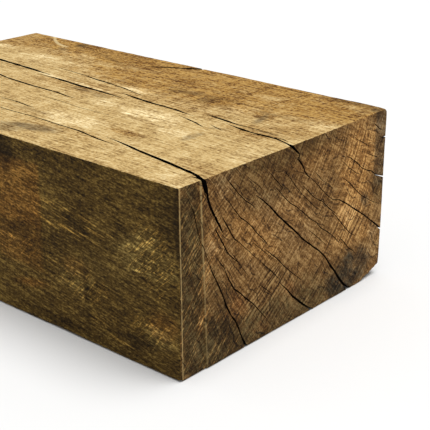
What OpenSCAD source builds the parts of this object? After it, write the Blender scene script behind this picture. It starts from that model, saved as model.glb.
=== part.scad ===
// Sawn oak sleeper block.
// X runs along the grain, Y across the laid face, Z up from the bed face.
// The origin is the middle of the bed face. The cross-cut face at +X is the checked one.

/* [Timber] */
// Length along the grain
length = 450; // [300:10:2600]
// Width of the laid face
width = 260; // [200:5:320]
// Thickness from the bed face to the top face
thickness = 152; // [120:1:200]

/* [Edges] */
// Rounding of the two front long arrises
front_arris = 2; // [1:0.5:8]
// Rounding of the back top long arris
back_top_arris = 2; // [1:0.5:12]
// Rounding of the back bed long arris
back_bed_arris = 2.5; // [1:0.5:12]
// Rounding of the edges round both cross-cut faces
end_arris = 1.5; // [1:0.5:5]

/* [Saw step] */
// Depth of the strip left where two saw cuts met on the checked face
step_depth = 1; // [0.4:0.1:3]
// Width of that strip at the top face
step_top_width = 22; // [10:0.5:40]
// Width of that strip at the bed face
step_bed_width = 28.5; // [10:0.5:40]

/* [Broken corners] */
// Height of the steep facet off the back bed corner
steep_height = 15; // [8:1:40]
// Reach of the steep facet across the bed face
steep_reach = 5; // [3:0.5:20]
// Height of the shallow facet off the same corner
shallow_height = 9; // [4:1:20]
// Reach of the shallow facet across the bed face
shallow_reach = 34; // [20:1:60]
// Reach of both facets along the grain
break_run = 50; // [30:5:120]
// Reach of the small facet off the front bed corner
front_break = 6; // [2:0.5:12]
// Height of that small facet
front_break_height = 3; // [1:0.5:8]

/* [Drying checks] */
// Multiplier for every check opening
check_opening = 1; // [0.5:0.1:1.6]
// Multiplier for the lean of every check in the top face
check_lean = 1; // [0:0.1:1.2]

/* [Hidden] */

oak = [0.60, 0.43, 0.23];
arc_steps = 6;   // flats in one rounded arris
overshoot = 1;   // how far a cutter stands out of the face it cuts
near_end = length / 2;
front = -width / 2;
drawn = [450, 260, 152];  // size of block that the check routes below are given for
stretch = [length / drawn[0], width / drawn[1], thickness / drawn[2]];

// Checks that open on the cross-cut face, as routes of [from front, above bed, opening].
// The number before each is how far its widest part reaches along the grain.
end_checks = [
    // on from the first top check, next to the saw step
    [10, [[26, 144, 0.8], [28, 139, 2.4], [32.4, 129, 2.2], [40, 115.2, 1.8], [45.5, 106, 1],
          [47.5, 102, 0.3]]],
    [45, [[37.2, 112, 0.4], [42.3, 103, 1.2], [51, 88, 1.3], [54, 84.5, 0.8], [67.5, 70.5, 0.3]]],
    // out of the bed face, front
    [60, [[29, 89, 0.4], [34.3, 77.3, 1.2], [45.8, 55, 1.4], [55.6, 34.6, 1.5], [64.5, 20.4, 1.5],
          [69, 10.6, 1.7], [75, -2, 2.8]]],
    [40, [[37.5, 91.5, 0.3], [43, 81.7, 1], [59, 55, 1.3], [74, 41.7, 1], [90, 25.7, 0.9],
          [101, 13, 0.3]]],
    // on from the third top check, through to the back face
    [12, [[129, 148, 0.6], [132.5, 144.6, 1.8], [136.5, 141, 1.7], [141, 132.3, 1.9],
          [149, 120.8, 1.2], [161.5, 111, 0.9], [184.6, 90.6, 0.9], [206, 80.8, 1.4],
          [225.5, 67.5, 1.6], [241.5, 56, 1.4], [262, 40, 1.9]]],
    // the long middle one, out of the bed face
    [80, [[83, 124, 0.3], [94, 115.5, 1.4], [111.5, 98.6, 1.6], [134.9, 78, 1.5],
          [159.7, 56.8, 1.4], [179.3, 39, 1.6], [191.7, 24, 2], [204, 8.9, 2.2], [215, -2, 4.2]]],
    [55, [[111, 44.5, 0.3], [118, 38, 0.7], [126, 30.2, 1.3], [140.2, 16, 1.7], [154.4, 4.4, 1.9],
          [162, -2, 2.4]]],
    // short ones between them
    [35, [[44, 120, 0.3], [49.4, 111, 1.2], [59, 96, 1.2], [62.7, 93, 0.7], [91, 66.5, 0.3]]],
    [35, [[51, 130.5, 0.3], [67, 110, 0.9], [85, 93, 0.8], [99, 79.5, 0.3]]],
    [30, [[49, 147, 0.3], [55, 140, 0.9], [71, 123, 0.8], [85, 112, 0.3]]],
    [30, [[198, 126, 0.3], [207.7, 120.8, 0.8], [232.6, 103.9, 1], [250.3, 94, 1], [262, 90, 1.2]]]
];

// Checks that open on the top face, as routes of [from near end, from front, opening, depth].
// The number before each is how far it leans toward the back for each millimetre down.
top_checks = [
    [0.25, [[-2, 22.8, 3.2, 16], [3, 25.3, 3.4, 20], [20, 31, 3.8, 32], [60, 38, 3.5, 30],
            [97, 45, 2.4, 20], [122, 48.8, 0.3, 2]]],
    [0.4, [[100, 39.8, 0.3, 2], [123, 41, 1.9, 12], [151, 46, 2.1, 14], [207, 48, 1.4, 11],
           [270, 48, 1.3, 8], [345, 49, 0.3, 2]]],
    [1.1, [[-2, 123.6, 2.6, 7], [6, 127.6, 2.4, 12], [19, 131.2, 2.8, 18], [36, 131.3, 3.4, 19],
           [51, 132.5, 3, 16], [68, 135.4, 1.6, 7], [76, 137.4, 0.3, 2]]],
    [0.5, [[62, 139.4, 0.3, 2], [76, 142, 2.7, 14], [88.7, 144, 2.8, 15], [105, 145.4, 0.3, 2]]],
    [0.5, [[106, 135.6, 0.3, 2], [129, 138.7, 2.6, 12], [145, 140.3, 3.2, 16],
           [176, 142.5, 3.3, 17], [189, 144.4, 2.9, 14], [206, 147, 0.3, 2]]],
    [0.5, [[188, 134.6, 0.3, 2], [205, 136.6, 2.2, 12], [239, 139, 3.8, 21], [266, 141, 3.8, 22],
           [284, 142.9, 3, 16], [308, 144, 0.3, 2]]],
    [0.5, [[305, 148.6, 0.3, 2], [313, 149.5, 2.2, 14], [349, 152.8, 4, 26], [383, 155.6, 3.8, 28],
           [452, 158, 3.4, 30]]],
    [0.5, [[80, 116.5, 0.3, 2], [95, 122.5, 2.2, 9], [122, 129.6, 0.3, 2]]],
    [0.4, [[182, 153, 0.3, 2], [214, 159.4, 2, 10], [257, 164.8, 2.4, 12], [292, 169, 0.3, 2]]],
    [0.4, [[222, 107.8, 0.3, 2], [250, 111, 2.5, 13], [306, 113.8, 2.9, 14], [339, 118.4, 2.7, 14],
           [394, 121, 0.3, 2]]],
    [0.4, [[226, 65.4, 0.3, 2], [244, 67, 2, 8], [280, 69, 0.3, 2]]],
    [0.3, [[202, 263, 6, 16], [217, 251, 5, 14], [238, 240, 3.4, 9], [255, 230, 0.3, 2]]]
];

// Corner points of a rectangle a by b on the origin, with radii in the order
// low-low, high-low, high-high, low-high.
function rounded_outline(a, b, radii) = [
    for (corner = [0 : 3], step = [0 : arc_steps])
        let (
            r = radii[corner],
            sx = (corner == 1 || corner == 2) ? 1 : -1,
            sy = corner > 1 ? 1 : -1,
            angle = 180 + 90 * corner + 90 * step / arc_steps
        )
        [sx * (a / 2 - r) + r * cos(angle), sy * (b / 2 - r) + r * sin(angle)]
];

function unit(v) = v / norm(v);

// Direction of a route at point i, from its two neighbours.
function heading(route, i) =
    unit(route[min(i + 1, len(route) - 1)] - route[max(i - 1, 0)]);

// Solid between a mouth, given as left and right points, and the line of tips.
module wedge(left, right, tips) {
    n = len(tips);
    points = concat(left, right, tips);
    walls = [for (i = [0 : n - 2]) each [
        [i, i + 1, 2 * n + i + 1, 2 * n + i],
        [n + i + 1, n + i, 2 * n + i, 2 * n + i + 1],
        [i + 1, i, n + i, n + i + 1]
    ]];
    ends = [[0, 2 * n, n], [n - 1, 2 * n - 1, 3 * n - 1]];
    polyhedron(points, concat(walls, ends), convexity = 4);
}

module end_check(run, route) {
    path = [for (p = route) [p[0] * stretch[1] + front, p[1] * stretch[2]]];
    last = len(path) - 1;
    widest = max([for (p = route) p[2]]);
    side = [for (i = [0 : last])
        let (h = heading(path, i))
        [h[1], -h[0]] * route[i][2] * check_opening / 2];
    wedge(
        [for (i = [0 : last]) [near_end + overshoot, path[i][0] + side[i][0], path[i][1] + side[i][1]]],
        [for (i = [0 : last]) [near_end + overshoot, path[i][0] - side[i][0], path[i][1] - side[i][1]]],
        [for (i = [0 : last]) [near_end - run * route[i][2] / widest, path[i][0], path[i][1]]]
    );
}

module top_check(lean, route) {
    path = [for (p = route) [near_end - p[0] * stretch[0], p[1] * stretch[1] + front]];
    across = lean * check_lean;
    last = len(path) - 1;
    side = [for (i = [0 : last])
        let (h = heading(path, i))
        [h[1], -h[0]] * route[i][2] * check_opening / 2];
    mouth = [for (p = path) p - [0, across * overshoot]];
    wedge(
        [for (i = [0 : last]) [mouth[i][0] + side[i][0], mouth[i][1] + side[i][1], thickness + overshoot]],
        [for (i = [0 : last]) [mouth[i][0] - side[i][0], mouth[i][1] - side[i][1], thickness + overshoot]],
        [for (i = [0 : last]) [path[i][0], path[i][1] + across * route[i][3], thickness - route[i][3]]]
    );
}

// Rounded on every edge: the section, plan and side outlines run through each other.
module sawn_block() {
    intersection() {
        rotate([90, 0, 90])
            translate([0, thickness / 2, -length])
                linear_extrude(2 * length)
                    polygon(rounded_outline(width, thickness,
                        [front_arris, back_bed_arris, back_top_arris, front_arris]));
        linear_extrude(thickness)
            polygon(rounded_outline(length, width, [for (i = [0 : 3]) end_arris]));
        rotate([90, 0, 0])
            translate([0, thickness / 2, -width])
                linear_extrude(2 * width)
                    polygon(rounded_outline(length, thickness, [for (i = [0 : 3]) end_arris]));
    }
}

// Shallow strip beside the front arris, where the second saw cut ran a little deeper.
module saw_step() {
    translate([near_end - step_depth, front, 0])
        rotate([90, 0, 90])
            linear_extrude(step_depth + overshoot)
                polygon([
                    [-overshoot, -overshoot],
                    [step_bed_width, -overshoot],
                    [step_top_width, thickness + overshoot],
                    [-overshoot, thickness + overshoot]
                ]);
}

// One flat facet off the back bed corner of the checked end.
module corner_facet(run, reach, height) {
    grow = 1.1;  // the cutter stands proud of the corner by a tenth
    cut = [run, reach, height];
    out = cut * (grow - 1) / 3;
    translate([near_end, -front, 0])
        translate(out - [0, 0, 2 * out[2]])
            polyhedron(
                [[0, 0, 0], [-cut[0] * grow, 0, 0], [0, -cut[1] * grow, 0], [0, 0, cut[2] * grow]],
                [[0, 1, 2], [0, 3, 1], [0, 2, 3], [1, 3, 2]]);
}

module broken_corners() {
    corner_facet(break_run, steep_reach, steep_height);
    corner_facet(break_run, shallow_reach, shallow_height);
    mirror([0, 1, 0])
        corner_facet(front_break, front_break, front_break_height);
}

module sleeper() {
    color(oak)
        difference() {
            sawn_block();
            saw_step();
            broken_corners();
            for (check = end_checks) end_check(check[0], check[1]);
            for (check = top_checks) top_check(check[0], check[1]);
        }
}

sleeper();
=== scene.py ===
import math

import bmesh
import bpy
import numpy as np
from mathutils import Matrix, Vector, noise
from mathutils.bvhtree import BVHTree


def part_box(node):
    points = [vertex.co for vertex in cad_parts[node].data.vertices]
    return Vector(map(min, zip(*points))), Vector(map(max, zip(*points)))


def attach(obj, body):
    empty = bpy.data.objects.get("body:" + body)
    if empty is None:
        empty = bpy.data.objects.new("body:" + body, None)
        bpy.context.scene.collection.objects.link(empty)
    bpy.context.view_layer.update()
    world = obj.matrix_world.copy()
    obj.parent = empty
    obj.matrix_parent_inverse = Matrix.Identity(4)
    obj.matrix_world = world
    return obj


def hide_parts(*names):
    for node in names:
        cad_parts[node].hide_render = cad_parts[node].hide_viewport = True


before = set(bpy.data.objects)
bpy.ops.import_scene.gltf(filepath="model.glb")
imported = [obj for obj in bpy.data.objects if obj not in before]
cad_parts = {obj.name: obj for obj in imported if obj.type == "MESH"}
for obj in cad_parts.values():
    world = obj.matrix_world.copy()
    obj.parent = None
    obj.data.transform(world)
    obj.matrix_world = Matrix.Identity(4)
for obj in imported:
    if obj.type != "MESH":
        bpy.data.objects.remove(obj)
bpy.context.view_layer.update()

low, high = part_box("sleeper")
mm = 0.001
longSize, wideSize, thickSize = [(b - a) / mm for a, b in zip(low, high)]
nearEnd, front = longSize / 2, -wideSize / 2      # mm, in the frame's own axes
print("sleeper box in mm:", round(longSize), round(wideSize), round(thickSize))

# All of the timber is worked out in millimetres and brought to metres at the end.
timber = {
    "spacing": 2.75,                                       # between grid lines on the open faces
    "rimLines": (0.4, 0.9, 1.6, 2.5, 3.7, 5.2, 7.2, 9.6),  # extra lines in from each arris
    "lineGap": 1.2,                                        # least distance from a line that is asked for
    "frontArris": 1.9, "backTopArris": 1.9, "backBedArris": 2.6, "endArris": 1.2,
    "cornerWear": 2.6, "cornerRun": 9,                     # more off the back arrises at the near end
    "arrisWear": 0.6, "fineWear": 0.35,                    # shares by which wear changes the radii
    "wearScale": (34, 60, 60), "fineWearScale": (9, 14, 14),
    "hollow": 0.5, "hollowScale": (95, 60, 60),            # broad hollows in the faces
    "uneven": 0.16, "unevenLong": 30, "unevenAcross": 9,   # small unevenness
    "skinDepth": 5,                                        # how deep the hollows move the mesh
    "stepDepth": 1.0, "stepTop": 22.0, "stepBed": 28.5,    # strip beside the front arris
    "stepSlope": 0.35, "stepRunIn": 12,                    # half width of its border, reach inward
    "stepShift": 14, "stepShiftRun": 40,                   # how far the grid slants along with it
    "breaks": ((15, 5, 50), (9, 34, 50)),                  # height, reach and run off the broken corner
    "blunt": (3.2, 6, 7),                                  # the same off the front corner of the bed
    "splinters": ((0.15, (26, 3.2, 3.2), 61), (0.12, (60, 7, 7), 67)),  # amount, scale and seed
    "heartFront": 80.0, "heartAbove": 123.0,               # the tree's heart, outside the block
    "slack": 0.12,                                         # a face deeper than this is a check's wall
    "sharpAngle": 32,
}


def gridStops(size, extra=()):
    rim = [0.0, *timber["rimLines"]]
    inner = size - 2 * rim[-1]
    count = round(inner / timber["spacing"])
    stops = rim + [rim[-1] + inner * i / count for i in range(1, count)]
    stops += [size - r for r in reversed(rim)]
    stops = [s for s in stops if all(abs(s - e) > timber["lineGap"] for e in extra)]
    return sorted([*stops, *extra])


def gridBlock():
    bm = bmesh.new()
    bmesh.ops.create_cube(bm, size=1)
    stepMid, slope = (timber["stepTop"] + timber["stepBed"]) / 2, timber["stepSlope"]
    border = (stepMid - slope, stepMid + slope)
    stops = [gridStops(longSize), gridStops(wideSize, border), gridStops(thickSize)]
    for axis in range(3):
        along = [e for e in bm.edges if abs(e.verts[0].co[axis] - e.verts[1].co[axis]) > 0.5]
        bmesh.ops.subdivide_edges(bm, edges=along, cuts=len(stops[axis]) - 2, use_grid_fill=True)
    for v in bm.verts:
        for axis in range(3):
            row = round((v.co[axis] + 0.5) * (len(stops[axis]) - 1))
            v.co[axis] = stops[axis][row]
    return bm


def noiseAt(points, scale, seed=0.0):
    shift = Vector((seed, seed * 1.7, -seed * 0.6))
    return np.array([noise.noise(Vector(p) + shift) for p in points / np.array(scale)])


def ease(value, start, end):
    t = np.clip((value - start) / (end - start), 0, 1)
    return t * t * (3 - 2 * t)


def cornerPull(a, b, radius):
    # a and b are depths under two faces; inside the corner square they are drawn onto an arc
    inA, inB = np.clip(radius - a, 0, None), np.clip(radius - b, 0, None)
    both = (inA > 0) & (inB > 0)
    length = np.where(both, np.hypot(inA, inB), 1)
    share = np.where(both, np.maximum(inA, inB) / length, 1)
    return radius - inA * share, radius - inB * share, both


def shapeBlock(bm):
    p = np.array([v.co[:] for v in bm.verts])           # measured from the far front bed corner
    size = np.array([longSize, wideSize, thickSize])
    fromNear = longSize - p[:, 0]
    wear = 1 + timber["arrisWear"] * noiseAt(p, timber["wearScale"], 3)
    wear = wear + timber["fineWear"] * noiseAt(p, timber["fineWearScale"], 8)

    stepMid = (timber["stepTop"] + timber["stepBed"]) / 2
    stepLine = timber["stepBed"] + (timber["stepTop"] - timber["stepBed"]) * p[:, 2] / thickSize
    slide = np.clip(1 - abs(p[:, 1] - stepMid) / timber["stepShift"], 0, 1)
    slide = slide * np.clip(1 - fromNear / timber["stepShiftRun"], 0, 1)
    onStep = (p[:, 1] < stepMid) * np.clip(1 - fromNear / timber["stepRunIn"], 0, 1)
    p[:, 1] += (stepLine - stepMid) * slide

    depth = np.stack([p, size - p], axis=2)             # depth under the low and high faces of each axis
    inward = np.array([1.0, -1.0])
    arrises = ((0, 0, "frontArris"), (0, 1, "frontArris"), (1, 0, "backBedArris"), (1, 1, "backTopArris"))
    normal = np.zeros_like(p)
    for sideY, sideZ, name in arrises:
        radius = timber[name] + timber["frontArris"] * (wear - 1)
        if sideY:
            radius = radius + timber["cornerWear"] * np.exp(-fromNear / timber["cornerRun"])
        y, z = depth[:, 1, sideY], depth[:, 2, sideZ]
        newY, newZ, both = cornerPull(y, z, radius)
        towards = np.stack([radius - y, radius - z], axis=1)
        towards /= np.maximum(np.linalg.norm(towards, axis=1), 1e-6)[:, None]
        p[both, 1] += inward[sideY] * (newY - y)[both]
        p[both, 2] += inward[sideZ] * (newZ - z)[both]
        normal[both, 1] = inward[sideY] * towards[both, 0]
        normal[both, 2] = inward[sideZ] * towards[both, 1]
    skin = np.minimum(depth[:, 1].min(axis=1), depth[:, 2].min(axis=1))
    plain = np.linalg.norm(normal, axis=1) < 0.5
    nearY = depth[:, 1].min(axis=1) <= depth[:, 2].min(axis=1)
    sideOfY, sideOfZ = depth[:, 1].argmin(axis=1), depth[:, 2].argmin(axis=1)
    normal[:, 1] = np.where(plain & nearY, inward[sideOfY], normal[:, 1])
    normal[:, 2] = np.where(plain & ~nearY, inward[sideOfZ], normal[:, 2])
    for side in (0, 1):
        radius = timber["endArris"] * wear
        x = depth[:, 0, side]
        newX, newSkin, both = cornerPull(x, skin, radius)
        p[both, 0] += inward[side] * (newX - x)[both]
        p[both] += normal[both] * (newSkin - skin)[both, None]

    # every face is a little hollow and uneven, always inwards of the sawn size
    across = timber["unevenAcross"]
    for axis in range(3):
        scale = (timber["unevenLong"] if axis else across, across, across)
        for side in (0, 1):
            weight = np.clip(1 - depth[:, axis, side] / timber["skinDepth"], 0, 1)
            seed = 20 + 5 * axis + side
            broad = 0.5 + 0.5 * noiseAt(p, timber["hollowScale"], seed)
            small = 0.5 + 0.5 * noiseAt(p, scale, seed + 20)
            sink = timber["hollow"] * broad ** 1.5 + timber["uneven"] * small
            p[:, axis] += inward[side] * weight * sink
    p[:, 0] -= timber["stepDepth"] * onStep

    # the broken corner, at the back of the bed on the near end, and the blunt one at its front
    splinters = sum(amount * noiseAt(p, scale, seed) for amount, scale, seed in timber["splinters"])
    corners = [(wideSize, -1, *size) for size in timber["breaks"]] + [(0, 1, *timber["blunt"])]
    for corner, inwards, height, reach, run in corners:
        slope = np.array([-1 / run, inwards / reach, 1 / height])
        within = (longSize - p[:, 0]) / run + abs(p[:, 1] - corner) / reach + p[:, 2] / height
        over = 1 + splinters - within
        p += np.where(over > 0, over, 0)[:, None] * slope / (slope @ slope)

    p += np.array([-longSize / 2, -wideSize / 2, 0])
    for v, place in zip(bm.verts, p):
        v.co = place


block = gridBlock()
shapeBlock(block)
print("block:", len(block.faces), "faces")

# Checks on the near end, out from the heart: run along the grain, then [from front, above bed, opening].
endChecks = [
    (12, [(22.5, 154, 3.2), (26.5, 149.5, 3.4), (28.5, 143, 3.4), (29.8, 136, 3.3), (32.4, 129, 3.1),
          (36, 122.5, 2.9), (40, 115.2, 2.5), (43, 110.5, 2.0), (45.5, 106, 1.1), (47.5, 102, 0.2)]),
    (45, [(37.2, 112, 0.3), (38.7, 109, 1.1), (42.3, 103, 1.2), (46, 97, 1.3), (51, 88, 1.3),
          (54, 84.5, 0.8), (63.6, 75.5, 0.7), (67.5, 70.5, 0.2)]),
    (22, [(9.4, 142, 0.2), (13.4, 135, 0.7), (16.5, 128, 1.0), (18.3, 119, 0.9), (21, 110, 0.8),
          (23, 105, 0.6), (28, 92.4, 0.7), (29.5, 87, 0.2)]),
    (60, [(29, 89, 0.3), (34.3, 77.3, 1.2), (39.6, 67.5, 1.4), (45.8, 55, 1.4), (49.4, 46, 1.6),
          (55.6, 34.6, 1.5), (61, 27.5, 1.4), (64.5, 20.4, 1.5), (69, 10.6, 1.7), (73.4, 1.8, 2.2),
          (75, -2, 2.8)]),
    (40, [(37.5, 91.5, 0.2), (43, 81.7, 1.0), (47.6, 76.4, 0.9), (53, 65, 1.1), (59, 55, 1.3),
          (66, 49.7, 1.2), (74, 41.7, 1.0), (83, 33.7, 0.9), (90, 25.7, 0.9), (95.6, 19.5, 0.7),
          (101, 13, 0.15)]),
    (12, [(124, 155, 2.2), (131.3, 147, 2.1), (137.3, 141.6, 1.6), (135, 138.5, 1.5), (141, 132.3, 1.9),
          (145.5, 124.3, 1.6), (149, 120.8, 1.2), (154.4, 117.2, 0.8), (161.5, 111, 0.9),
          (168.6, 103.9, 1.0), (177.5, 95.9, 0.9), (184.6, 90.6, 0.9), (194.4, 87.9, 1.2),
          (206, 80.8, 1.4), (214.8, 74.6, 1.4), (225.5, 67.5, 1.6), (232.6, 63, 1.5), (241.5, 56, 1.4),
          (250.3, 49.7, 1.7), (262, 40, 1.9)]),
    (80, [(83, 124, 0.2), (94, 115.5, 1.4), (102.7, 107.5, 1.5), (111.5, 98.6, 1.6), (120.4, 90.6, 1.7),
          (134.9, 78, 1.5), (143.8, 69.3, 1.5), (152.6, 62.2, 1.6), (159.7, 56.8, 1.4),
          (166.9, 51.5, 1.5), (174, 45.3, 1.6), (179.3, 39, 1.6), (184.6, 32, 1.9), (191.7, 24, 2.0),
          (197, 16.9, 2.1), (204, 8.9, 2.2), (209.5, 3.6, 3.0), (215, -2, 4.2)]),
    (55, [(111, 44.5, 0.2), (118, 38, 0.7), (126, 30.2, 1.3), (133, 22.2, 1.6), (140.2, 16, 1.7),
          (147.3, 9.8, 1.8), (154.4, 4.4, 1.9), (162, -2, 2.4)]),
    (35, [(44, 120, 0.2), (49.4, 111, 1.2), (54.7, 103, 1.3), (59, 96, 1.2), (62.7, 93, 0.7),
          (69, 87.5, 0.6), (76, 80.8, 0.6), (85, 72, 0.5), (91, 66.5, 0.15)]),
    (35, [(51, 130.5, 0.2), (58, 120, 0.8), (67, 110, 0.9), (75, 104, 0.8), (85, 93, 0.8),
          (95.6, 82.6, 0.7), (99, 79.5, 0.15)]),
    (30, [(49, 147, 0.2), (55, 140, 0.9), (62, 132, 0.9), (71, 123, 0.8), (81, 115.5, 0.7),
          (85, 112, 0.15)]),
    (30, [(198, 126, 0.15), (207.7, 120.8, 0.8), (218.4, 113.7, 0.9), (225.5, 107.5, 0.9),
          (232.6, 103.9, 1.0), (239.7, 101.2, 1.0), (250.3, 94, 1.0), (262, 90, 1.2)]),
    (24, [(93, 79, 0.15), (99, 72.8, 0.7), (109.8, 64, 0.9), (120.4, 53.3, 0.9), (128, 46.5, 0.7),
          (134, 41.5, 0.7), (142, 34.5, 0.5), (149, 29, 0.15)]),
    (18, [(76, 91, 0.1), (88, 80, 0.6), (101, 69, 0.6), (112, 60, 0.1)]),
    (20, [(105, 125, 0.1), (109.8, 120.8, 0.6), (118.6, 112, 0.9), (126.6, 104.8, 0.9),
          (136.7, 97.7, 0.7), (145.5, 90.6, 0.7), (152.6, 84.4, 0.8), (161.5, 78.2, 0.7),
          (168.6, 71, 0.8), (179.3, 63.9, 0.8), (188.2, 56.8, 0.7), (193.5, 51.5, 0.6),
          (202.4, 44.4, 0.15)]),
    (20, [(96, 141, 0.1), (106, 130.5, 0.8), (114, 122.5, 0.8), (122, 116.3, 0.1)]),
    (20, [(114, 138, 0.1), (120.4, 131.4, 0.5), (131.3, 119, 0.7), (140.2, 109.2, 0.6),
          (149, 101.2, 0.6), (158, 93.3, 0.6), (165, 87, 0.1)]),
    (20, [(196, 107.5, 0.1), (202.4, 103, 0.8), (211.3, 95.9, 0.9), (220, 87.9, 0.9), (228, 81.7, 0.8),
          (236, 77, 0.6), (243.2, 72.8, 0.6), (253.9, 67.5, 0.5), (258, 66, 0.1)]),
    (20, [(183, 81, 0.1), (190, 74.6, 0.8), (197, 67.5, 0.9), (204, 60.4, 0.9), (211.3, 53.3, 0.8),
          (222, 46.2, 0.1)]),
    (12, [(250, 127.5, 0.3), (256, 127, 1.2), (262, 127, 2.2)]),
    (18, [(190, 59.5, 0.1), (197, 53.3, 0.8), (204, 46.2, 0.9), (211.3, 39, 0.9), (216.6, 35.5, 0.8),
          (223, 30.5, 0.1)]),
    (18, [(138, 119.5, 0.1), (143.8, 113.7, 0.6), (151.8, 105.7, 0.9), (159.7, 99.5, 0.9),
          (170.4, 93.3, 0.7), (181, 83.5, 0.8), (188.2, 78.2, 0.6), (193, 74, 0.1)]),
    (18, [(155, 125, 0.1), (161.5, 119, 0.6), (170.4, 110.5, 0.6), (177.5, 106.6, 0.5),
          (186, 98.5, 0.1)]),
    (18, [(193, 124.5, 0.1), (198.8, 119, 0.6), (206, 112.8, 0.7), (216.6, 105.7, 0.6),
          (226, 101, 0.1)]),
    (16, [(87, 50, 0.1), (93.8, 44.4, 0.7), (102.7, 37.3, 0.7), (109.5, 31, 0.1)]),
    (16, [(89, 69, 0.1), (93.8, 64, 0.7), (102.7, 56, 0.9), (111.5, 47, 0.9), (117.5, 42, 0.1)]),
    (16, [(70, 144, 0.1), (78, 137, 0.6), (86, 130.5, 0.6), (96, 122, 0.1)]),
    (16, [(53, 88, 0.1), (59, 82, 0.6), (66, 72.5, 0.6), (72, 65, 0.5), (79, 57, 0.1)]),
    (16, [(150, 76, 0.1), (158, 69.3, 0.6), (166.9, 62.2, 0.7), (176, 54, 0.1)]),
    (16, [(205, 143, 0.1), (216, 135, 0.5), (228, 128, 0.5), (240, 122, 0.1)]),
    (14, [(236, 148, 0.1), (243, 141, 0.8), (250, 136, 0.9), (254, 134, 0.1)]),
    (14, [(232, 119, 0.1), (239, 115.5, 0.7), (246, 112.5, 0.7), (251, 110.5, 0.1)]),
]

# Checks on the top face: how far each leans as it goes down, then
# [from near end, from front, opening, depth].
topChecks = [
    (0.25, [(-2, 22.8, 3.2, 16), (3, 25.3, 3.4, 20), (10, 28.6, 3.8, 26), (20, 31, 3.8, 32),
            (40, 34.5, 3.7, 34), (60, 38, 3.5, 30), (80, 41.2, 3.1, 26), (97, 45, 2.4, 20),
            (110, 47.4, 1.6, 12), (122, 48.8, 0.2, 2)]),
    (0.4, [(100, 39.8, 0.3, 2), (114, 40.4, 1.3, 9), (123, 41, 1.9, 12), (136, 43.3, 2.1, 14),
           (151, 46, 2.1, 14), (176, 46.6, 1.6, 12), (207, 48, 1.4, 11), (239, 47.4, 1.6, 10),
           (270, 48, 1.3, 8), (310, 47, 1.0, 6), (345, 49, 0.2, 2)]),
    (1.1, [(-2, 123.6, 2.6, 7), (1, 125.2, 2.6, 9), (6, 127.6, 2.4, 12), (12, 129.4, 2.2, 16),
           (19, 131.2, 2.8, 18), (27, 131.9, 3.3, 19), (36, 131.3, 3.4, 19), (51, 132.5, 3.0, 16),
           (61, 134, 2.6, 12), (68, 135.4, 1.6, 7), (76, 137.4, 0.2, 2)]),
    (0.5, [(7, 131, 0.2, 2), (12, 133.4, 1.4, 6), (16, 134.4, 1.8, 7), (21, 133.2, 1.4, 6),
           (25, 132, 0.4, 2)]),
    (0.5, [(24, 139.6, 0.2, 2), (36, 140.6, 1.2, 5), (50, 141.4, 1.4, 6), (66, 140.6, 2.0, 8),
           (76, 142, 2.7, 14), (88.7, 144, 2.8, 15), (98, 145, 2.0, 10), (105, 145.4, 0.2, 2)]),
    (0.5, [(106, 135.6, 0.2, 2), (120, 137.2, 1.4, 6), (129, 138.7, 2.6, 12), (145, 140.3, 3.2, 16),
           (160, 141, 3.3, 17), (176, 142.5, 3.3, 17), (189, 144.4, 2.9, 14), (200, 146.4, 1.4, 6),
           (206, 147, 0.2, 2)]),
    (0.5, [(188, 134.6, 0.2, 2), (205, 136.6, 2.2, 12), (220, 137.8, 3.4, 18), (239, 139, 3.8, 21),
           (251, 139.4, 4.0, 22), (266, 141, 3.8, 22), (284, 142.9, 3.0, 16), (302, 143.5, 1.8, 9),
           (316, 144.4, 0.2, 2)]),
    (0.5, [(297, 147.8, 0.2, 2), (309, 149.2, 1.9, 11), (332, 151.6, 3.6, 20), (349, 152.8, 4.0, 26),
           (383, 155.6, 3.8, 28), (420, 157, 3.6, 29), (452, 158, 3.4, 30)]),
    (0.5, [(80, 116.5, 0.2, 2), (87, 119.4, 1.8, 8), (95, 122.5, 2.2, 9), (104, 124.7, 1.9, 8),
           (115, 127.8, 1.0, 5), (122, 129.6, 0.2, 2)]),
    (0.4, [(182, 153, 0.2, 2), (200, 156, 1.5, 8), (214, 159.4, 2.0, 10), (236, 162.6, 2.4, 12),
           (257, 164.8, 2.4, 12), (273, 168, 1.8, 9), (292, 169.4, 1.4, 7), (310, 170.8, 0.9, 4),
           (322, 171.6, 0.2, 2)]),
    (0.4, [(222, 107.8, 0.3, 2), (234, 108.7, 1.9, 10), (250, 111, 2.5, 13), (284, 112, 2.8, 14),
           (306, 113.8, 2.9, 14), (323, 115.3, 2.8, 14), (339, 118.4, 2.7, 14), (370, 120, 1.9, 9),
           (394, 121, 0.2, 2)]),
    (0.4, [(226, 65.4, 0.2, 2), (236, 66, 2.0, 8), (253, 68.4, 2.0, 8), (268, 68.4, 1.4, 6),
           (280, 69, 0.2, 2)]),
    (0.3, [(202, 263, 6.0, 16), (208, 256.4, 5.8, 16), (217, 251, 5.0, 14), (226, 246, 4.2, 12),
           (238, 240, 3.4, 9), (249, 233, 2.2, 5), (255, 230, 0.3, 2)]),
    (0.4, [(64, 120.5, 0.2, 2), (70, 122.2, 1.2, 6), (78, 124.8, 1.0, 5), (84, 126.6, 0.2, 2)]),
    (0.4, [(12, 147.5, 0.2, 2), (30, 152, 0.5, 3), (46, 154, 0.2, 2)]),
    (0.4, [(160, 92, 0.2, 2), (176, 91.4, 0.9, 4), (198, 91, 1.0, 4), (220, 93.6, 1.1, 5),
           (240, 94.6, 1.0, 5), (256, 96, 0.2, 2)]),
]

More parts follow.
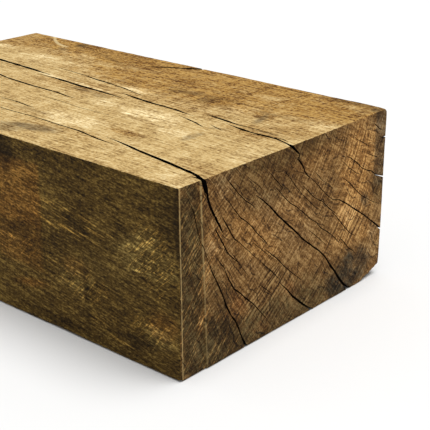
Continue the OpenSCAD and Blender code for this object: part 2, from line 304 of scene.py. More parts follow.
# Checks on the far end, which dried the same way.
farChecks = [
    (30, [(36, 146, 0.2), (44, 132, 1.5), (54, 117, 1.8), (66, 99, 1.4), (84, 76, 0.2)]),
    (50, [(122, 155, 2.6), (132, 144, 2.4), (146, 128, 2.2), (170, 103, 1.9), (196, 84, 1.4),
          (220, 68, 0.2)]),
    (40, [(66, 100, 0.2), (88, 74, 1.6), (112, 47, 2.0), (134, 22, 2.0), (156, -2, 2.8)]),
    (26, [(106, 128, 0.2), (128, 106, 1.3), (150, 86, 1.2), (168, 70, 0.15)]),
    (30, [(28, 74, 0.2), (40, 48, 1.5), (50, 26, 1.7), (62, -2, 2.4)]),
    (26, [(186, 136, 0.15), (212, 116, 1.2), (236, 100, 1.3), (262, 84, 1.7)]),
    (20, [(82, 124, 0.15), (98, 107, 1.0), (118, 88, 1.0), (134, 74, 0.15)]),
    (20, [(150, 60, 0.15), (168, 44, 1.1), (186, 26, 1.2), (204, 8, 0.15)]),
    (16, [(20, 118, 0.15), (26, 100, 0.9), (34, 82, 0.9), (40, 68, 0.15)]),
    (16, [(200, 66, 0.15), (218, 52, 0.9), (240, 36, 0.9), (250, 30, 0.15)]),
]

# Chips where a check runs out over an edge of the near end: from front, above bed, width, height, depth.
chips = [(75, 0, 6.0, 3.8, 14), (160, 0, 6.0, 3.4, 14), (213, 0, 9.0, 4.5, 16), (260, 127, 3.0, 3.4, 5)]

cutting = {
    "endStep": 3.2, "topStep": 5.5,                        # between points along a check
    "waver": 0.28, "widthWaver": 0.4,                      # how far a route and its opening wander
    "proud": 1.5, "chipProud": 1,                          # how far a cutter stands out of its face
    "leastOpening": 0.1, "leastDepth": 0.8,
    "chipEnd": 0.2, "chipSkew": 0.8,                       # size of a chip's inner end, and of one side
    "topSeed": 40, "farSeed": 70,
}


def roughRoute(route, step, seed):
    # more points between the given ones, pushed about a little, as a check follows the fibres
    out = []
    for a, b in zip(route, route[1:]):
        a, b = np.array(a, float), np.array(b, float)
        count = max(1, round(np.linalg.norm((b - a)[:2]) / step))
        out += [a + (b - a) * i / count for i in range(count)]
    out.append(np.array(route[-1], float))
    last = len(out) - 1
    for i in range(1, last):
        side = np.array([out[i + 1][1] - out[i - 1][1], out[i - 1][0] - out[i + 1][0]])
        side /= max(np.linalg.norm(side), 1e-6)
        out[i][:2] += side * cutting["waver"] * noise.noise(Vector((i * 0.55, seed * 3.1, 0.5)))
        out[i][2] *= 1 + cutting["widthWaver"] * noise.noise(Vector((i * 0.8, seed * 2.3, 7.5)))
    return out


def checkCutter(name, sections):
    # sections are [left of the mouth, right of the mouth, tip], one after another along the check
    bm = bmesh.new()
    bmesh.ops.create_circle(bm, cap_ends=True, segments=3, radius=1)
    cap = bm.faces[:][0]
    corners = list(cap.verts)
    for corner, place in zip(corners, sections[0]):
        corner.co = place
    for section in sections[1:]:
        was, inner = [c.co.copy() for c in corners], cap
        made = bmesh.ops.extrude_face_region(bm, geom=[inner])["geom"]
        cap = next(g for g in made if isinstance(g, bmesh.types.BMFace))
        if section is not sections[1]:
            bmesh.ops.delete(bm, geom=[inner], context="FACES_ONLY")
        corners = [min(cap.verts, key=lambda v: (v.co - w).length) for w in was]
        for corner, place in zip(corners, section):
            corner.co = place
    bmesh.ops.recalc_face_normals(bm, faces=bm.faces[:])
    mesh = bpy.data.meshes.new(name)
    bm.to_mesh(mesh)
    bm.free()
    cutter = bpy.data.objects.new(name, mesh)
    bpy.context.collection.objects.link(cutter)
    return cutter


def sideways(route, i):
    a, b = route[max(i - 1, 0)], route[min(i + 1, len(route) - 1)]
    side = Vector((b[1] - a[1], a[0] - b[0]))
    return side.normalized()


def endCutter(name, run, route, seed, face=1):
    route = roughRoute(route, cutting["endStep"], seed)
    widest = max(r[2] for r in route)
    mouth = face * (nearEnd + cutting["proud"])
    sections = []
    for i, (y, z, opening) in enumerate(route):
        side = sideways(route, i) * max(opening, cutting["leastOpening"]) / 2
        tip = max(run * opening / widest, cutting["leastDepth"])
        sections.append([Vector((mouth, front + y + side.x, z + side.y)),
                         Vector((mouth, front + y - side.x, z - side.y)),
                         Vector((face * (nearEnd - tip), front + y, z))])
    return checkCutter(name, sections)


def topCutter(name, lean, route, seed):
    route = roughRoute(route, cutting["topStep"], seed)
    down = Vector((0, lean, -1))
    sections = []
    for i, (x, y, opening, deep) in enumerate(route):
        side = sideways(route, i) * max(opening, cutting["leastOpening"]) / 2
        place = Vector((nearEnd - x, front + y, thickSize))
        across = Vector((-side.x, side.y, 0))
        mouth = place - down * cutting["proud"]
        sections.append([mouth + across, mouth - across, place + down * max(deep, cutting["leastDepth"])])
    return checkCutter(name, sections)


def chipCutter(name, y, z, chipWidth, chipHeight, chipDepth):
    # a small three-sided dent, with its point turned into the wood along the edge
    onBack, proud = y > wideSize - 1, cutting["chipProud"]
    out = Vector((nearEnd + proud, front + y + (proud if onBack else 0), z - (0 if onBack else proud)))
    inner = Vector((0, -chipHeight, 0)) if onBack else Vector((0, 0, chipHeight))
    across = Vector((0, 0, chipWidth / 2)) if onBack else Vector((0, chipWidth / 2, 0))
    end, share = out + Vector((-chipDepth - proud, 0, 0)), cutting["chipEnd"]
    return checkCutter(name, [[out + across, out - across * cutting["chipSkew"], out + inner],
                              [end + across * share, end - across * share, end + inner * share]])


def meshObject(name, bm):
    mesh = bpy.data.meshes.new(name)
    bm.to_mesh(mesh)
    made = bpy.data.objects.new(name, mesh)
    bpy.context.collection.objects.link(made)
    return made


skinTree = BVHTree.FromBMesh(block)
sleeper = meshObject("sleeperTimber", block)
block.free()

cutters = [endCutter(f"endCheck{i}", run, route, i) for i, (run, route) in enumerate(endChecks)]
for i, (lean, route) in enumerate(topChecks):
    cutters.append(topCutter(f"topCheck{i}", lean, route, cutting["topSeed"] + i))
cutters += [chipCutter(f"chip{i}", *chip) for i, chip in enumerate(chips)]
for i, (run, route) in enumerate(farChecks):
    cutters.append(endCutter(f"farCheck{i}", run, route, cutting["farSeed"] + i, face=-1))
for cutter in cutters:
    cut = sleeper.modifiers.new(cutter.name, "BOOLEAN")
    cut.operation, cut.solver, cut.object = "DIFFERENCE", "MANIFOLD", cutter
depsgraph = bpy.context.evaluated_depsgraph_get()
cutMesh = bpy.data.meshes.new_from_object(sleeper.evaluated_get(depsgraph))
sleeper.modifiers.clear()
sleeper.data = cutMesh
for cutter in cutters:
    bpy.data.objects.remove(cutter)
cutMesh.name = "sleeperTimber"
print("checks cut:", len(cutMesh.polygons), "faces")

# Patches of colour: face, middle along and up that face, half sizes, turn in degrees, tone, strength, and
# "square" for one with straight borders. On the two ends the middle is given from the front and above the
# bed. Elsewhere it is given from the near end, and then from the front or above the bed.
patches = [
    # The first moss patch on the near end and the light grime over the same strip beside the front arris
    # darken that strip: partly olive stain, partly painted shade of that facet.
    ("near", 10, 76, 16, 104, 0, "moss", 0.95), ("near", 40, 12, 46, 32, 0, "moss", 1.0),
    ("near", 56, 20, 14, 18, 0, "rust", 0.3), ("near", 54, 34, 14, 26, 20, "moss", 0.65),
    ("near", 114, 151, 74, 17, 0, "moss", 0.65), ("near", 96, 132, 46, 20, -20, "moss", 0.42),
    ("near", 110, 8, 96, 26, 0, "moss", 0.76), ("near", 34, 56, 13, 26, 0, "moss", 0.45),
    ("near", 30, 14, 40, 26, 0, "grime", 0.3), ("near", 112, 140, 50, 20, 0, "rust", 0.35),
    ("near", 150, 18, 26, 20, 20, "moss", 0.45), ("near", 190, 22, 30, 14, 10, "moss", 0.35),
    ("near", 120, 30, 12, 14, 0, "moss", 0.35), ("near", 105, 38, 34, 24, 0, "moss", 0.2),
    ("near", 205, 12, 26, 15, 0, "soot", 0.85), ("near", 212, 29, 9, 10, 0, "soot", 0.8),
    ("near", 231, 18, 13, 18, 0, "soot", 0.7), ("near", 232, 78, 6, 8, 40, "soot", 0.6),
    ("near", 254, 118, 10.5, 34, 0, "soot", 0.52, "square"), ("near", 251, 84, 11, 16, 20, "moss", 0.4),
    ("near", 240, 95, 9, 12, 30, "grime", 0.35), ("near", 246, 148, 16, 5, 0, "grime", 0.4),
    ("near", 221, 104, 28, 46, 0, "honey", 0.9), ("near", 234, 118, 8, 22, 0, "honey", 0.3),
    ("near", 208, 72, 20, 18, 0, "honey", 0.8), ("near", 120, 95, 44, 22, -38, "pale", 0.35),
    ("near", 212, 52, 34, 12, 0, "honey", 0.45), ("near", 84, 90, 40, 15, -38, "honey", 0.5),
    ("near", 168, 134, 34, 14, 0, "honey", 0.25), ("near", 234, 49, 8, 11, 10, "honey", 0.7),
    ("near", 128, 100, 26, 16, -38, "honey", 0.3), ("near", 250, 141, 6, 8, 0, "pale", 0.9),
    ("near", 206, 71, 14, 11, 0, "pale", 0.4), ("near", 256, 100, 6, 60, 0, "pale", 0.25),
    ("near", 247, 46, 9, 9, -30, "pale", 0.8), ("near", 246, 22, 9, 14, 0, "pale", 0.45),
    ("near", 33, 97, 10, 6, -20, "pale", 0.45), ("near", 48, 142, 11, 11, 0, "pale", 0.6),
    ("near", 78, 66, 14, 6, -35, "pale", 0.25), ("near", 62, 38, 10, 15, 30, "amber", 0.5),
    ("near", 95, 12, 12, 8, 0, "amber", 0.3), ("near", 130, 28, 12, 6, -50, "amber", 0.4),
    ("near", 102, 34, 34, 22, 20, "rings", 1.0), ("near", 208, 64, 26, 24, 0, "rings", 0.7),
    ("near", 222, 122, 22, 26, 0, "rings", 0.45), ("near", 160, 20, 30, 16, 0, "rings", 0.6),
    ("near", 14, 76, 16, 100, 0, "grime", 0.2), ("near", 14, 60, 20, 90, 0, "scored", 1.0),
    ("near", 44, 20, 30, 24, 0, "scored", 0.9), ("near", 36, 100, 14, 14, 0, "scored", 0.7),
    ("top", 225, 262, 330, 60, 0, "rust", 1.0), ("top", 170, 196, 150, 36, 0, "rust", 0.95),
    ("top", 14, 165, 40, 24, 0, "rust", 0.5), ("top", 40, 218, 60, 34, 0, "rust", 1.0),
    ("top", 150, 150, 70, 16, 0, "rust", 0.4), ("top", 50, 176, 24, 14, 0, "rust", 0.5),
    ("top", 46, 134, 34, 16, 0, "rust", 0.5), ("top", 255, 140, 60, 18, 0, "rust", 0.45),
    ("top", 425, 228, 66, 30, 0, "rust", 0.75), ("top", 120, 66, 18, 7, 0, "rust", 0.75),
    ("top", 160, 38, 60, 8, 0, "rust", 0.3), ("top", 20, 205, 26, 16, 0, "rust", 0.35),
    ("top", 10, 39, 24, 12, 0, "rust", 0.3), ("top", 281, 201, 7, 4, 0, "rust", 0.9),
    ("top", 272, 240, 22, 4, 18, "rust", 0.9), ("top", 300, 112, 60, 10, 0, "rust", 0.25),
    ("top", 390, 215, 26, 20, 60, "rust", 0.45), ("top", 132, 179, 9, 9, 0, "grime", 0.55),
    ("top", 163, 186, 17, 6, -15, "grime", 0.6), ("top", 140, 190, 60, 2.6, 0, "grime", 0.45),
    ("top", 61, 165, 3.2, 16, -18, "grime", 0.75), ("top", 72, 93, 4, 13, 0, "grime", 0.5),
    ("top", 58, 182, 30, 1.8, 0, "grime", 0.4), ("top", 184, 29, 26, 8, -12, "grime", 0.8),
    ("top", 205, 16, 20, 12, 0, "grime", 0.5), ("top", 4, 248, 5, 6, 0, "grime", 1.0),
    ("top", 18, 255, 40, 7, 0, "grime", 0.55), ("top", 238, 132, 18, 4, 0, "grime", 0.55),
    ("top", 212, 128, 12, 5, 0, "grime", 0.4), ("top", 365, 249, 8, 8, 0, "grime", 0.75),
    ("top", 370, 226, 9, 3.4, 20, "grime", 0.8), ("top", 70, 122, 9, 2.2, -20, "grime", 0.5),
    ("top", 300, 228, 44, 3, 20, "grime", 0.4), ("top", 225, 60, 26, 3, 0, "grime", 0.35),
    ("top", 30, 139, 20, 2, 0, "grime", 0.4), ("top", 138, 113, 32, 12, 0, "pale", 0.95),
    ("top", 118, 104, 22, 9, 0, "pale", 0.4), ("top", 178, 64, 30, 14, 0, "pale", 0.6),
    ("top", 92, 92, 16, 12, 0, "pale", 0.4), ("top", 196, 116, 18, 9, 0, "pale", 0.45),
    ("top", 10, 86, 18, 20, 0, "pale", 0.2), ("top", 10, 12, 20, 12, 0, "pale", 0.2),
    ("top", 350, 184, 38, 15, 0, "pale", 0.2), ("top", 12, 182, 12, 14, 0, "pale", 0.4),
    ("top", 200, 164, 18, 7, 0, "pale", 0.9), ("top", 91, 182, 14, 20, 0, "pale", 0.5),
    ("top", 305, 192, 10, 5, 0, "pale", 0.6), ("top", 361, 192, 11, 8, 0, "pale", 0.7),
    ("top", 428, 199, 12, 5, 0, "pale", 1.0), ("top", 264, 144.8, 52, 2.8, 4, "pale", 1.3),
    ("top", 120, 152, 24, 2.4, -4, "pale", 0.6), ("top", 145, 94, 14, 2, 0, "pale", 0.6),
    ("top", 340, 222, 22, 9, 0, "pale", 0.5),
    ("side", 178, 108, 28, 26, 0, "amber", 0.85, "square"),
    ("side", 176, 70, 26, 24, 0, "amber", 0.55, "square"), ("side", 163, 32, 22, 4, -12, "amber", 0.8),
    ("side", 18, 40, 16, 12, 0, "amber", 0.5), ("side", 110, 62, 16, 8, 0, "amber", 0.35),
    ("side", 410, 110, 34, 30, 0, "amber", 0.6), ("side", 188, 139, 11, 16, 0, "grime", 1.0),
    ("side", 42, 19, 15, 9, 0, "grime", 0.9), ("side", 160, 12, 56, 10, 0, "grime", 0.12),
    ("side", 60, 8, 70, 9, 0, "grime", 0.15), ("side", 2, 126, 5, 34, 0, "grime", 0.9),
    ("side", 12, 128, 14, 26, 0, "grime", 0.45), ("side", 104, 88, 44, 22, 0, "grime", 0.25),
    ("side", 99, 34, 1.8, 40, 0, "grime", 0.5, "square"), ("side", 360, 40, 60, 24, 0, "grime", 0.4),
    ("side", 315, 128, 30, 14, 0, "grime", 0.4), ("side", 34, 90, 34, 20, 0, "pale", 0.8),
    ("side", 22, 94, 14, 12, 0, "pale", 0.35), ("side", 112, 50, 20, 12, 0, "pale", 0.55),
    ("side", 22, 28, 16, 9, 0, "pale", 0.9), ("side", 70, 66, 40, 12, 0, "pale", 0.2),
    ("side", 265, 84, 50, 26, 0, "pale", 0.3), ("side", 118, 96, 46, 12, 0, "scored", 1.0),
    ("side", 126, 52, 26, 8, 0, "scored", 0.8), ("side", 60, 20, 44, 10, 0, "scored", 0.6),
    ("side", 280, 70, 90, 30, 0, "scored", 0.8), ("side", 26, 92, 26, 26, 0, "flecked", 1.0),
    ("side", 30, 30, 24, 14, 0, "flecked", 0.8), ("side", 100, 48, 30, 14, 0, "flecked", 0.6),
    ("side", 170, 62, 22, 10, 0, "flecked", 0.5), ("side", 330, 60, 70, 30, 0, "flecked", 0.7),
    ("far", 60, 30, 50, 22, 0, "moss", 0.9), ("far", 220, 120, 26, 30, 0, "moss", 0.6),
    ("far", 130, 90, 46, 30, 40, "honey", 0.5), ("far", 190, 40, 24, 14, 0, "grime", 0.5),
    ("far", 120, 60, 60, 40, 0, "rings", 0.9), ("far", 40, 120, 30, 20, 0, "scored", 0.8),
    ("back", 120, 60, 60, 30, 0, "amber", 0.7), ("back", 320, 100, 60, 26, 0, "grime", 0.5),
    ("back", 40, 20, 40, 24, 0, "grime", 0.6), ("back", 230, 120, 50, 16, 0, "pale", 0.5),
    ("back", 200, 80, 120, 40, 0, "scored", 0.9), ("back", 380, 50, 60, 30, 0, "flecked", 0.8),
    ("bed", 110, 90, 70, 40, 0, "grime", 0.5), ("bed", 300, 180, 70, 36, 0, "amber", 0.5),
    ("bed", 360, 60, 50, 30, 0, "grime", 0.4), ("bed", 220, 130, 60, 24, 0, "pale", 0.4),
    ("bed", 200, 130, 160, 60, 0, "scored", 0.7),
]

patchEdge = {
    "ragged": ((0.30, (16, 9, 9), 11), (0.22, (6, 4, 4), 12)),  # amount, scale and seed
    "squareRagged": 0.2,                                        # share of it that a square patch has
    "fade": (1.3, 0.55), "squareFade": (1.1, 0.95),             # in half sizes, from none to full
}


def paintTimber(mesh):
    count = len(mesh.vertices)
    flat = np.empty(count * 3)
    mesh.vertices.foreach_get("co", flat)
    p = flat.reshape(-1, 3)
    out = np.array([skinTree.find_nearest(Vector(q))[1][:] for q in p])
    fromNear, fromFront, up = nearEnd - p[:, 0], p[:, 1] - front, p[:, 2]
    ends, sides, flats = out[:, 0] ** 2, out[:, 1] ** 2, out[:, 2] ** 2
    faces = {
        "near": (ends * (out[:, 0] > 0), fromFront, up),
        "far": (ends * (out[:, 0] < 0), fromFront, up),
        "top": (flats * (out[:, 2] > 0), fromNear, fromFront),
        "bed": (flats * (out[:, 2] < 0), fromNear, fromFront),
        "side": (sides * (out[:, 1] < 0), fromNear, up),
        "back": (sides * (out[:, 1] > 0), fromNear, up),
    }
    ragged = sum(amount * noiseAt(p, scale, seed) for amount, scale, seed in patchEdge["ragged"])
    tones = {patch[6]: np.zeros(count) for patch in patches}
    for face, u, v, halfU, halfV, turn, tone, strength, *shape in patches:
        weight, along, across = faces[face]
        c, s = math.cos(math.radians(turn)), math.sin(math.radians(turn))
        du, dv = along - u, across - v
        du, dv = (du * c + dv * s) / halfU, (dv * c - du * s) / halfV
        if shape:
            reach = np.maximum(abs(du), abs(dv)) + patchEdge["squareRagged"] * ragged
        else:
            reach = np.hypot(du, dv) + ragged
        outer, inner = patchEdge["squareFade" if shape else "fade"]
        tones[tone] = np.maximum(tones[tone], strength * weight * ease(-reach, -outer, -inner))
    tones["endGrain"] = ends
    tones["topFace"] = faces["top"][0]
    for name, values in tones.items():
        mesh.attributes.new(name, "FLOAT", "POINT").data.foreach_set("value", values.astype(np.float32))


paintTimber(cutMesh)
inCheck = np.array([skinTree.find_nearest(f.center)[3] > timber["slack"] for f in cutMesh.polygons])
cutMesh.transform(Matrix.Scale(mm, 4))
cutMesh.shade_smooth()
cutMesh.set_sharp_from_angle(angle=math.radians(timber["sharpAngle"]))


class Wire:
    # one socket's value, which can stand in a sum
    def __init__(self, bench, socket):
        self.bench, self.socket = bench, socket

    def sum(self, operation, *values):
        return self.bench.add("Math", {"operation": operation}, values)

    def __add__(self, other):
        return self.sum("ADD", self, other)

    def __sub__(self, other):
        return self.sum("SUBTRACT", self, other)

    def __rsub__(self, other):
        return self.sum("SUBTRACT", other, self)

    def __mul__(self, other):
        return self.sum("MULTIPLY", self, other)

    def __truediv__(self, other):
        return self.sum("DIVIDE", self, other)

    def __pow__(self, other):
        return self.sum("POWER", self, other)

    __radd__, __rmul__ = __add__, __mul__


class Bench:
    # the node tree of one material
    def __init__(self, name):
        self.material = bpy.data.materials.new(name)
        self.material.use_nodes = True
        self.tree = self.material.node_tree
        self.tree.nodes.clear()

    def add(self, kind, settings=None, sockets=(), out=0):
        node = self.tree.nodes.new("ShaderNode" + kind)
        for key, value in (settings or {}).items():
            if key == "stops":
                while len(node.color_ramp.elements) < len(value):
                    node.color_ramp.elements.new(0.5)
                for element, (place, colour) in zip(node.color_ramp.elements, value):
                    element.position, element.color = place, colour
            else:
                setattr(node, key, value)
        for key, value in (sockets.items() if isinstance(sockets, dict) else enumerate(sockets)):
            if isinstance(value, Wire):
                self.tree.links.new(value.socket, node.inputs[key])
            else:
                node.inputs[key].default_value = value
        if isinstance(out, tuple):
            return [Wire(self, node.outputs[o]) for o in out]
        return Wire(self, node.outputs[out]) if len(node.outputs) else node

    def attribute(self, name):
        return self.add("Attribute", {"attribute_name": name}, out="Fac")

    def stretch(self, vector, x, y, z):
        return self.add("VectorMath", {"operation": "MULTIPLY"}, [vector, (x, y, z)])

    def grainNoise(self, vector, detail=3.0, roughness=0.55, distortion=0.0):
        sockets = {"Vector": vector, "Scale": 1.0, "Detail": detail, "Roughness": roughness,
                   "Distortion": distortion}
        return self.add("TexNoise", {}, sockets, out="Fac")

    def easeIn(self, value, start, end, low=0.0, high=1.0):
        return self.add("MapRange", {"interpolation_type": "SMOOTHSTEP"}, [value, start, end, low, high])

    def size(self, value):
        return self.add("Math", {"operation": "ABSOLUTE"}, [value])

    def surface(self, colour, rough, specular, height=None, strength=0.0, depth=0.0):
        sockets = {"Base Color": colour, "Roughness": rough, "Specular IOR Level": specular}
        if height is not None:
            bump = {"Strength": strength, "Distance": depth, "Height": height}
            sockets["Normal"] = self.add("Bump", {}, bump)
        self.add("OutputMaterial", {}, {"Surface": self.add("BsdfPrincipled", {}, sockets)})

    def blend(self, factor, a, b, kind="MIX"):
        return self.add("Mix", {"data_type": "RGBA", "blend_type": kind}, {0: factor, 6: a, 7: b}, out=2)


def paint(red, green, blue):
    # a colour as a picker shows it, made linear
    shares = [c / 255 for c in (red, green, blue)]
    return (*[((s + 0.055) / 1.055) ** 2.4 if s > 0.0405 else s / 12.92 for s in shares], 1.0)


oakLooks = {
    "ringPitch": 4.4,
    # Each face has its own three tones. The top is much lighter and the front side much darker than the
    # end: partly the weathered wood's own colour, partly painted light on the top and painted shade on
    # the side.
    "topDark": paint(106, 73, 34), "topMid": paint(197, 165, 107), "topLight": paint(230, 208, 156),
    "endDark": paint(48, 29, 12), "endMid": paint(120, 85, 44), "endLight": paint(178, 142, 90),
    "sideDark": paint(32, 21, 6), "sideMid": paint(86, 65, 27), "sideLight": paint(150, 122, 62),
    "grime": (0.30, 0.29, 0.32, 1), "moss": (0.34, 0.40, 0.41, 1), "rust": (0.64, 0.49, 0.28, 1),
    "amber": (1.62, 1.3, 1.18, 1), "honey": (1.75, 1.66, 1.5, 1), "pale": (1.42, 1.58, 1.95, 1),
    "soot": (0.27, 0.37, 0.62, 1), "scratch": (3.0, 2.85, 2.6, 1), "hairlineShade": (0.2, 0.18, 0.18, 1),
    # the colour of those light lines: a painted highlight on partly worn edges
    "wornHighlight": paint(186, 158, 106),
    "stripOffset": 0.3, "arrisOffset": 1.2, "arrisSlant": 0.01,  # where the light lines lie: painted highlights on worn edges
    "stripLine": (0.65, 0.25), "arrisLine": (0.7, 0.25),         # half widths, from none to full
    "splinterEnd": 373.0, "splinterAcross": 235.6, "splinterBend": 0.0113, "splinterLine": (3.0, 1.2),
    "specular": 0.08, "bump": 0.9, "bumpDepth": 0.001,
}


def oakMaterial():
    b = Bench("weatheredOak")
    place = b.add("TexCoord", out="Object")
    p = b.stretch(place, 1 / mm, 1 / mm, 1 / mm)
    x, y, z = b.add("SeparateXYZ", {}, [p], out=("X", "Y", "Z"))
    heartY = y - (front - timber["heartFront"])
    heartZ = z - (thickSize + timber["heartAbove"])
    wander = b.grainNoise(b.stretch(p, 1 / 140, 1 / 50, 1 / 50), 2)
    radius = (heartY * heartY + heartZ * heartZ) ** 0.5 + wander * 9
    angle = b.add("Math", {"operation": "ARCTAN2"}, [heartZ, heartY]) + wander * 0.06
    endGrain, topFace = b.attribute("endGrain"), b.attribute("topFace")
    scored, flecked = b.attribute("scored"), b.attribute("flecked")

    # growth rings show clearly in a few places only, and elsewhere are broken into short dashes
    spread = b.grainNoise(b.add("CombineXYZ", {}, [radius / 19, angle * 3, x / 900]), 1)
    year = b.add("Math", {"operation": "FRACT"}, [radius / oakLooks["ringPitch"] + spread * 3])
    broken = b.grainNoise(b.add("CombineXYZ", {}, [radius / 6, angle * 14, x / 40]), 2)
    inRings = b.attribute("rings")
    ring = (b.easeIn(year, 0.0, 0.3) * b.easeIn(year, 1.0, 0.55) - 0.45) * inRings * broken * 2
    broadRings = b.grainNoise(b.add("CombineXYZ", {}, [radius / 7, angle * 2.5, x / 60]), 1, 0.5)
    dashes = b.grainNoise(b.add("CombineXYZ", {}, [radius / 1.5, angle * 17, x / 20]), 2, 0.6)
    rays = b.grainNoise(b.add("CombineXYZ", {}, [angle * 190, radius / 13, x / 12]), 3, 0.65)
    longRays = b.grainNoise(b.add("CombineXYZ", {}, [angle * 75, radius / 60, x / 30]), 2, 0.6)

    # fibres along the grain
    fibre = b.grainNoise(b.stretch(p, 1 / 48, 1 / 2.8, 1 / 2.8), 3, 0.65)
    fineFibre = b.grainNoise(b.stretch(p, 1 / 13, 1 / 1.5, 1 / 1.5), 2, 0.7)
    grit = b.grainNoise(b.stretch(p, 1 / 2.8, 1 / 1.9, 1 / 1.5), 3, 0.75)
    mottle = b.grainNoise(b.stretch(p, 1 / 8, 1 / 5, 1 / 5), 3, 0.65)
    blotch = b.grainNoise(b.stretch(p, 1 / 26, 1 / 13, 1 / 13), 3, 0.6)
    cloud = b.grainNoise(b.stretch(p, 1 / 70, 1 / 36, 1 / 36), 2, 0.5)
    sawBands = b.grainNoise(b.stretch(p, 1 / 3.4, 1 / 90, 1 / 90), 2, 0.5)
    pits = b.easeIn(b.grainNoise(b.stretch(p, 1 / 11, 1 / 2.2, 1 / 2.2), 2, 0.6), 0.60, 0.70)

    # saw lines that slant on the sides, scratches on the end, and flecks where a ray lies in the surface
    sawLines = b.grainNoise(b.add("CombineXYZ", {}, [(z + x * 0.22) / 1.5, x / 30, y / 30]), 2, 0.6)
    slanted = b.add("CombineXYZ", {}, [(y - z * 0.85) / 1.5, (y + z) / 26, x / 50])
    scratches = b.easeIn(b.grainNoise(slanted, 1, 0.5, 0.4), 0.56, 0.68)
    onLines = b.blend(b.easeIn(endGrain, 0.4, 0.6), b.easeIn(sawLines, 0.57, 0.68), scratches)
    scratch = b.add("SeparateColor", {}, [onLines], out="Red") * scored
    turned = b.add("Mapping", {}, {"Vector": p, "Rotation": (0.5, 0.75, 0.35)})
    fleckNoise = b.grainNoise(b.stretch(turned, 1 / 16, 1 / 11, 1 / 1.9), 1, 0.5, 1.6)
    fleck = b.easeIn(fleckNoise, 0.56, 0.64) * flecked

    # hairline checks, which follow the rays, are painted as dark lines: painted shade in fine cracks that
    # are not cut
    hairWander = b.grainNoise(b.stretch(p, 1 / 90, 1 / 38, 1 / 38), 3) * 3
    hair = b.add("Math", {"operation": "FRACT"}, [angle * 27 + hairWander])
    hairLine = b.easeIn(b.size(hair - 0.5), 0.055, 0.02)
    hairGate = b.easeIn(b.grainNoise(b.stretch(p, 1 / 30, 1 / 13, 1 / 13), 2), 0.48, 0.58)
    hairlineShade = hairLine * hairGate * endGrain

    def tone(level, *parts):
        total = level - sum(amount for wire, amount in parts) / 2
        for wire, amount in parts:
            total = wire * amount + total
        return total

    endTone = tone(0.49, (dashes, 1.1), (rays, 1.0), (longRays, 0.6), (mottle, 0.25), (cloud, 0.4),
                   (grit, 1.4), (blotch, 0.35)) + ring * 0.4 + (broadRings - 0.5) * inRings * 0.9
    topTone = tone(0.0, (fibre, 1.0), (fineFibre, 1.3), (mottle, 0.4), (cloud, 0.3), (sawBands, 0.5),
                   (grit, 1.7), (blotch, 0.5))
    topTone = topTone * (0.74 + b.attribute("rust") * 0.8) - pits * 0.1 + 0.49
    sideTone = tone(0.45, (fibre, 0.3), (fineFibre, 0.7), (mottle, 0.5), (cloud, 0.4), (blotch, 0.4),
                    (grit, 1.5), (sawLines, 0.8))

    def three(level, part):
        places = ((0.1, "Dark"), (0.5, "Mid"), (0.9, "Light"))
        stops = [(place, oakLooks[part + shade]) for place, shade in places]
        return b.add("ValToRGB", {"stops": stops}, [level])

    def stain(shade, amount, name):
        stained = b.blend(1.0, shade, oakLooks[name], "MULTIPLY")
        return b.blend(b.add("Clamp", {}, [amount]), shade, stained)

    # faces take their own tones here, which paint part of the light on the top and part of the shade on
    # the front side
    shade = b.blend(b.easeIn(topFace, 0.25, 0.75), three(sideTone, "side"), three(topTone, "top"))
    shade = b.blend(b.easeIn(endGrain, 0.3, 0.7), shade, three(endTone, "end"))
    uneven = 1.0 + (mottle - 0.5) * 1.6 + (fibre - 0.5) * 1.0
    for name in ("rust", "amber", "honey", "moss", "pale", "grime", "soot"):
        shade = stain(shade, b.attribute(name) * uneven, name)
    shade = stain(shade, scratch + fleck, "scratch")

    # the two borders of the strip beside the front arris, and the front arris itself, get light lines:
    # painted highlights where these edges catch the light, on partly worn fibres; the strip's borders are
    # brighter towards the top
    stepLine = timber["stepBed"] + (timber["stepTop"] - timber["stepBed"]) / thickSize * z
    fromFront = y - front
    offStrip = b.size(fromFront - stepLine - oakLooks["stripOffset"])
    border = b.easeIn(offStrip, *oakLooks["stripLine"])
    border = border * b.easeIn(x, nearEnd - 3, nearEnd - 2) * (0.25 + z * (0.7 / thickSize))
    offArris = b.size(fromFront - oakLooks["arrisOffset"] - (thickSize - z) * oakLooks["arrisSlant"])
    arris = b.easeIn(offArris, *oakLooks["arrisLine"])
    arris = arris * b.easeIn(x, nearEnd - 3.0, nearEnd - 1.4)
    wornHighlight = b.add("Math", {"operation": "MAXIMUM"}, [border, arris * 0.75]) * b.easeIn(mottle, 0.26, 0.44)
    shade = b.blend(wornHighlight * 0.9, shade, oakLooks["wornHighlight"])

    # one pale splinter curves in from the back, toward the far end of the top
    fromSplinter = nearEnd - oakLooks["splinterEnd"] - x
    bend = fromSplinter * fromSplinter * oakLooks["splinterBend"]
    offSplinter = b.size(y - front - oakLooks["splinterAcross"] - bend)
    splinter = b.easeIn(offSplinter, *oakLooks["splinterLine"]) * topFace
    splinter = splinter * b.easeIn(fromSplinter, -4, 6) * b.easeIn(mottle, 0.3, 0.45)
    shade = b.blend(splinter * 0.55, shade, oakLooks["topLight"])
    # the hairline checks are darkened: painted shade in the fine cracks
    shade = stain(shade, hairlineShade * 0.85, "hairlineShade")

    height = fibre * 0.5 + fineFibre * 0.5 + grit * 0.4 + sawBands * 0.5 * (1 - endGrain) \
        + (dashes + rays) * 0.35 * endGrain - hairlineShade * 0.9 - pits * 0.3 * topFace
    rough = 0.76 + (mottle - 0.5) * 0.2
    b.surface(shade, rough, oakLooks["specular"], height, oakLooks["bump"], oakLooks["bumpDepth"])
    return b.material


# The check walls are near black: partly weathered dark wood, partly painted shade deep in the checks.
wallLooks = {
    "dark": paint(6, 4, 3), "light": paint(20, 13, 8),
    "rough": 0.95, "specular": 0.05, "bump": 0.5, "bumpDepth": 0.0008,
}


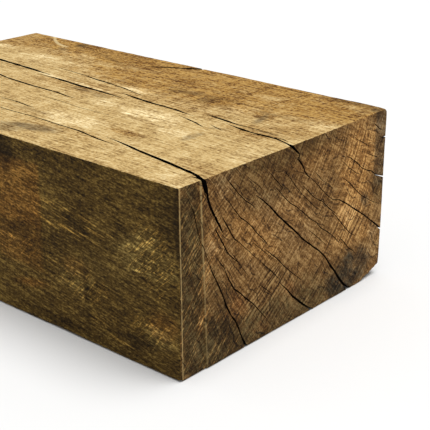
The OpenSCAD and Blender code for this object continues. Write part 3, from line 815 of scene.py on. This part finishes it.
def wallMaterial():
    b = Bench("darkCheckWallAndShade")
    p = b.stretch(b.add("TexCoord", out="Object"), 1 / mm, 1 / mm, 1 / mm)
    fibre = b.grainNoise(b.stretch(p, 1 / 30, 1 / 1.4, 1 / 1.4), 3, 0.6)
    colour = b.add("ValToRGB", {"stops": [(0.3, wallLooks["dark"]), (0.7, wallLooks["light"])]}, [fibre])
    b.surface(colour, wallLooks["rough"], wallLooks["specular"], fibre,
              wallLooks["bump"], wallLooks["bumpDepth"])
    return b.material


cutMesh.materials.clear()
cutMesh.materials.append(oakMaterial())
cutMesh.materials.append(wallMaterial())
# the check walls take the near black material, which paints shade into the checks
cutMesh.polygons.foreach_set("material_index", inCheck.astype(np.int32))
print("check walls:", int(inCheck.sum()), "of", len(inCheck), "faces")
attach(sleeper, "root")
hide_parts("sleeper")
print("oak finished")

studio = {
    "floorColour": (0.82, 0.82, 0.815, 1.0), "floorRough": 0.8, "floorSpecular": 0.1, "floorSize": 12,
    "world": 0.42,
    "sunFrom": (0.22, 0.10, 1.0), "sunPower": 2.75, "sunSpread": 42,
}

bm = bmesh.new()
bmesh.ops.create_grid(bm, x_segments=1, y_segments=1, size=studio["floorSize"])
floor = meshObject("floor", bm)
bm.free()
floorBench = Bench("paleFloor")
floorBench.surface(studio["floorColour"], studio["floorRough"], studio["floorSpecular"])
floor.data.materials.append(floorBench.material)

sun = bpy.data.objects.new("softSun", bpy.data.lights.new("softSun", "SUN"))
sun.data.energy, sun.data.angle = studio["sunPower"], math.radians(studio["sunSpread"])
sun.rotation_mode = "QUATERNION"
sun.rotation_quaternion = (-Vector(studio["sunFrom"])).to_track_quat("-Z", "Y")
bpy.context.collection.objects.link(sun)

world = bpy.data.worlds.new("studio")
bpy.context.scene.world = world
world.use_nodes = True
sky = world.node_tree.nodes["Background"]
sky.inputs["Color"].default_value = (1, 1, 1, 1)
sky.inputs["Strength"].default_value = studio["world"]
bpy.context.scene.view_settings.view_transform = "Standard"

shot = {"place": (0.71198, -0.65546, 0.41673), "lens": 93.79, "yaw": -0.7136, "pitch": 0.3776}
camera = bpy.data.objects.new("camera", bpy.data.cameras.new("camera"))
camera.data.lens, camera.data.sensor_width = shot["lens"], 36
camera.location = shot["place"]
yaw, pitch = shot["yaw"], shot["pitch"]
ahead = Vector((math.sin(yaw) * math.cos(pitch), math.cos(yaw) * math.cos(pitch), -math.sin(pitch)))
camera.rotation_mode = "QUATERNION"
camera.rotation_quaternion = ahead.to_track_quat("-Z", "Y")
bpy.context.collection.objects.link(camera)
bpy.context.scene.camera = camera
print("studio ready")
